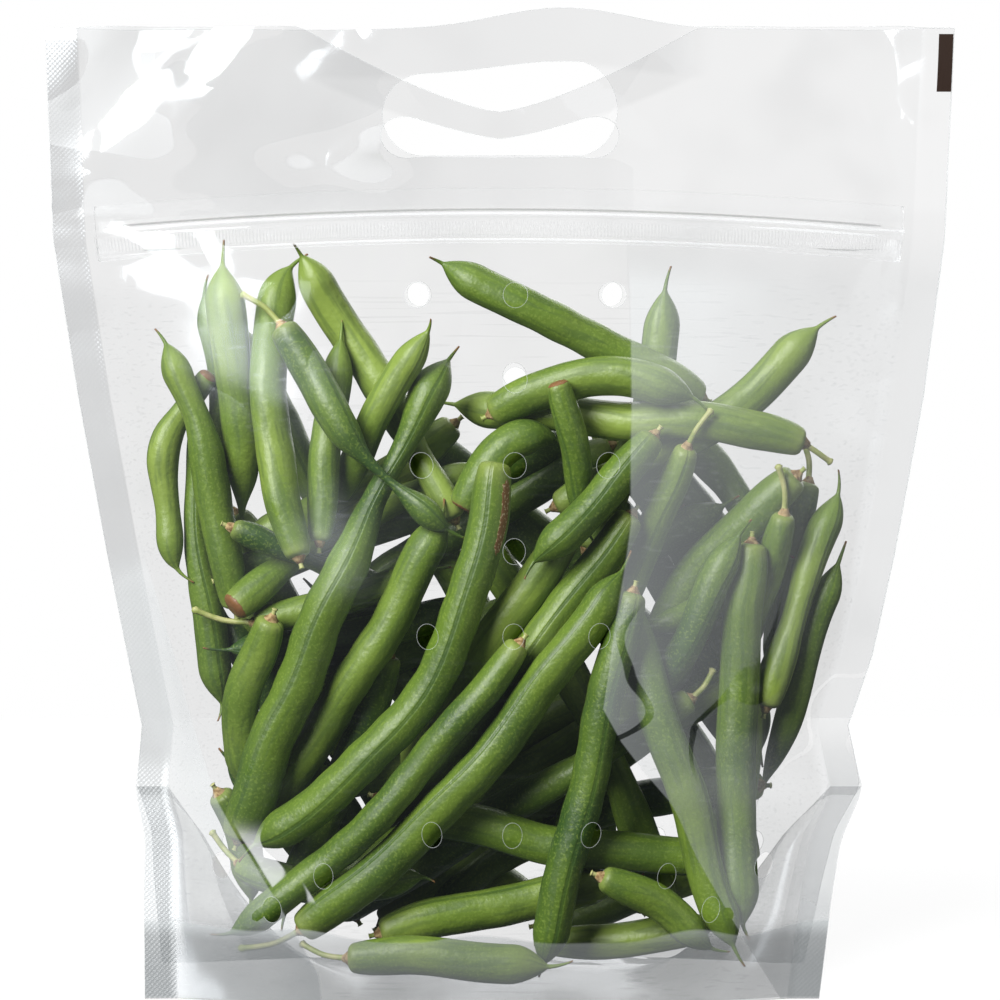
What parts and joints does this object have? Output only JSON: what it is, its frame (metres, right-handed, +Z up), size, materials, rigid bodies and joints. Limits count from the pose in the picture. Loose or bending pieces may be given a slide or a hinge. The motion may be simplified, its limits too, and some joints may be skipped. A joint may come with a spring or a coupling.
{
  "type": "bagged green bean bundle",
  "caption": "Clear stand-up produce pouch with a punched hand slot, a press-to-close zip, vent holes and a folded base, filled with loose whole green beans.",
  "frame": {"origin": "on the ground under the middle of the pouch", "axes": "+Z up, the front of the pouch faces -Y, +X to its right as seen from the front"},
  "size_m": [0.229, 0.0632, 0.2486],
  "materials": {
    "clear_film": "clear, glossy, slightly hazy film",
    "zip_plastic": "clear extruded strip",
    "green_pod": "fresh green bean skin with a soft sheen"
  },
  "bodies": {
    "root": {"front_panel": "clear_film", "back_panel": "clear_film", "bottom_gusset": "clear_film", "zip_rib_strip": "zip_plastic", "zip_groove_strip": "zip_plastic", "back_beans": "green_pod", "bean_01": "green_pod", "bean_02": "green_pod", "bean_03": "green_pod", "bean_04": "green_pod", "bean_05": "green_pod", "bean_06": "green_pod", "bean_07": "green_pod", "bean_08": "green_pod", "bean_09": "green_pod", "bean_10": "green_pod", "bean_11": "green_pod", "bean_12": "green_pod", "bean_13": "green_pod", "bean_14": "green_pod", "bean_15": "green_pod", "bean_16": "green_pod", "bean_17": "green_pod", "bean_18": "green_pod", "bean_19": "green_pod", "bean_20": "green_pod", "bean_21": "green_pod", "bean_22": "green_pod", "bean_23": "green_pod", "bean_24": "green_pod", "bean_25": "green_pod", "bean_26": "green_pod", "bean_27": "green_pod", "bean_28": "green_pod", "bean_29": "green_pod", "bean_30": "green_pod", "bean_31": "green_pod", "bean_32": "green_pod", "bean_33": "green_pod", "bean_34": "green_pod", "bean_35": "green_pod", "bean_36": "green_pod", "bean_37": "green_pod", "bean_38": "green_pod", "bean_39": "green_pod", "bean_40": "green_pod", "bean_41": "green_pod", "bean_42": "green_pod", "bean_43": "green_pod", "bean_44": "green_pod", "bean_45": "green_pod", "bean_46": "green_pod", "bean_47": "green_pod", "bean_48": "green_pod", "bean_49": "green_pod", "bean_50": "green_pod", "bean_51": "green_pod", "bean_52": "green_pod", "bean_53": "green_pod", "bean_54": "green_pod"}
  },
  "joints": []
}
